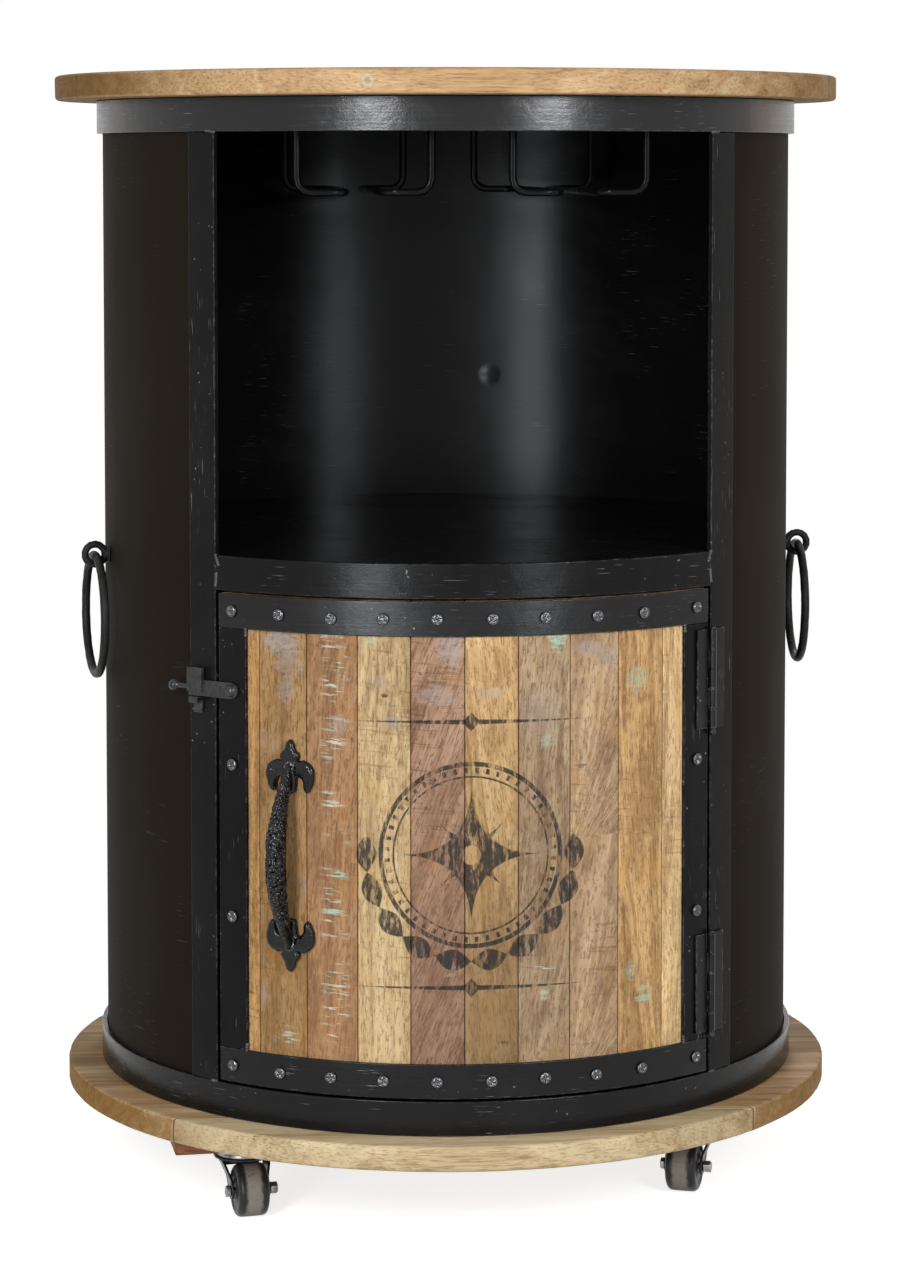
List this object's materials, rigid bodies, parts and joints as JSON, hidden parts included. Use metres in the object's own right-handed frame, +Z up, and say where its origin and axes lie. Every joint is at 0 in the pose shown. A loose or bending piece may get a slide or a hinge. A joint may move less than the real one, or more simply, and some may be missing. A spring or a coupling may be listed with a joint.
{
  "type": "drum bar cabinet",
  "caption": "Steel drum bar cabinet on casters with a round wooden top and base, an open glass compartment and a curved stave door.",
  "frame": {"origin": "on the floor under the middle of the drum", "axes": "+Z up, the front with the door faces -Y, the hinges are on the +X side"},
  "size_m": [0.72, 0.72, 1.0069],
  "materials": {
    "board_wood": "oiled mango wood with worn edges",
    "batten_wood": "rough reddish wood",
    "stave_light": "sanded reclaimed wood, light tan",
    "stave_honey": "sanded reclaimed wood, honey brown",
    "stave_red": "sanded reclaimed wood, reddish brown",
    "stave_grey": "sanded reclaimed wood, grey brown",
    "black_paint": "satin black paint, lightly scratched",
    "black_cast": "gloss black hammered casting",
    "dark_iron": "dark satin forged iron",
    "zinc": "dull zinc plate",
    "wheel_rubber": "black with a dusty worn tread"
  },
  "bodies": {
    "cabinet": {"top_board": "board_wood", "base_board": "board_wood", "front_batten": "batten_wood", "rear_batten": "batten_wood", "bottom_hoop": "black_paint", "top_hoop": "black_paint", "left_stile": "black_paint", "right_stile": "black_paint", "mid_rail": "black_paint", "floor_plate": "black_paint", "shelf": "black_paint", "lid_plate": "black_paint", "drum_shell": "black_paint", "glass_rail_1": "black_paint", "glass_rail_2": "black_paint", "glass_rail_3": "black_paint", "glass_rail_4": "black_paint", "upper_hinge_frame_leaf": "black_paint", "upper_hinge_pin": "dark_iron", "lower_hinge_frame_leaf": "black_paint", "lower_hinge_pin": "dark_iron", "latch_keeper": "black_paint", "left_eye_bolt": "dark_iron", "right_eye_bolt": "dark_iron", "caster_plate_front_left": "zinc", "caster_plate_front_right": "zinc", "caster_plate_rear_left": "zinc", "caster_plate_rear_right": "zinc"},
    "door": {"upper_hinge_door_leaf": "black_paint", "lower_hinge_door_leaf": "black_paint", "door_top_strip": "black_paint", "door_bottom_strip": "black_paint", "door_left_strip": "black_paint", "door_right_strip": "black_paint", "door_stave_01": "stave_light", "door_stave_02": "stave_honey", "door_stave_03": "stave_red", "door_stave_04": "stave_light", "door_stave_05": "stave_red", "door_stave_06": "stave_honey", "door_stave_07": "stave_grey", "door_stave_08": "stave_honey", "door_stave_09": "stave_honey", "door_stave_10": "stave_light", "door_pull": "black_cast"},
    "latch": {"latch_bar": "black_paint"},
    "ring_left": {"left_ring": "dark_iron"},
    "ring_right": {"right_ring": "dark_iron"},
    "fork_front_left": {"caster_fork_front_left": "dark_iron", "caster_axle_front_left": "zinc"},
    "wheel_front_left": {"caster_wheel_front_left": "wheel_rubber"},
    "fork_front_right": {"caster_fork_front_right": "dark_iron", "caster_axle_front_right": "zinc"},
    "wheel_front_right": {"caster_wheel_front_right": "wheel_rubber"},
    "fork_rear_left": {"caster_fork_rear_left": "dark_iron", "caster_axle_rear_left": "zinc"},
    "wheel_rear_left": {"caster_wheel_rear_left": "wheel_rubber"},
    "fork_rear_right": {"caster_fork_rear_right": "dark_iron", "caster_axle_rear_right": "zinc"},
    "wheel_rear_right": {"caster_wheel_rear_right": "wheel_rubber"}
  },
  "joints": [
    {"name": "door_hinge", "type": "hinge", "parent": "cabinet", "child": "door", "pos_m": [0.21668, -0.2433, 0.1326], "axis": [0, 0, 1], "range_deg": [0, 120]},
    {"name": "latch_pivot", "type": "hinge", "parent": "door", "child": "latch", "pos_m": [-0.20136, -0.25127, 0.4746], "axis": [0.6254, 0.7803, 0], "range_deg": [-5, 75]},
    {"name": "left_ring_swing", "type": "hinge", "parent": "cabinet", "child": "ring_left", "pos_m": [-0.32418, -0.06302, 0.57165], "axis": [-0.1908, 0.9816, 0], "range_deg": [-4, 110]},
    {"name": "right_ring_swing", "type": "hinge", "parent": "cabinet", "child": "ring_right", "pos_m": [0.3302, -0.00576, 0.57165], "axis": [-0.0175, -0.9998, 0], "range_deg": [-4, 110]},
    {"name": "swivel_front_left", "type": "hinge", "parent": "cabinet", "child": "fork_front_left", "pos_m": [-0.1925, -0.17655, 0.05], "axis": [0, 0, 1], "continuous": true},
    {"name": "spin_front_left", "type": "hinge", "parent": "fork_front_left", "child": "wheel_front_left", "pos_m": [-0.1873, -0.201, 0.023], "axis": [0.9781, 0.2079, 0], "continuous": true},
    {"name": "swivel_front_right", "type": "hinge", "parent": "cabinet", "child": "fork_front_right", "pos_m": [0.2145, -0.12945, 0.05], "axis": [0, 0, 1], "continuous": true},
    {"name": "spin_front_right", "type": "hinge", "parent": "fork_front_right", "child": "wheel_front_right", "pos_m": [0.20595, -0.15295, 0.023], "axis": [0.9397, -0.342, 0], "continuous": true},
    {"name": "swivel_rear_left", "type": "hinge", "parent": "cabinet", "child": "fork_rear_left", "pos_m": [-0.20486, 0.153, 0.05], "axis": [0, 0, 1], "continuous": true},
    {"name": "spin_rear_left", "type": "hinge", "parent": "fork_rear_left", "child": "wheel_rear_left", "pos_m": [-0.21341, 0.17649, 0.023], "axis": [-0.9397, -0.342, 0], "continuous": true},
    {"name": "swivel_rear_right", "type": "hinge", "parent": "cabinet", "child": "fork_rear_right", "pos_m": [0.20486, 0.153, 0.05], "axis": [0, 0, 1], "continuous": true},
    {"name": "spin_rear_right", "type": "hinge", "parent": "fork_rear_right", "child": "wheel_rear_right", "pos_m": [0.21543, 0.17566, 0.023], "axis": [-0.9063, 0.4226, 0], "continuous": true}
  ]
}
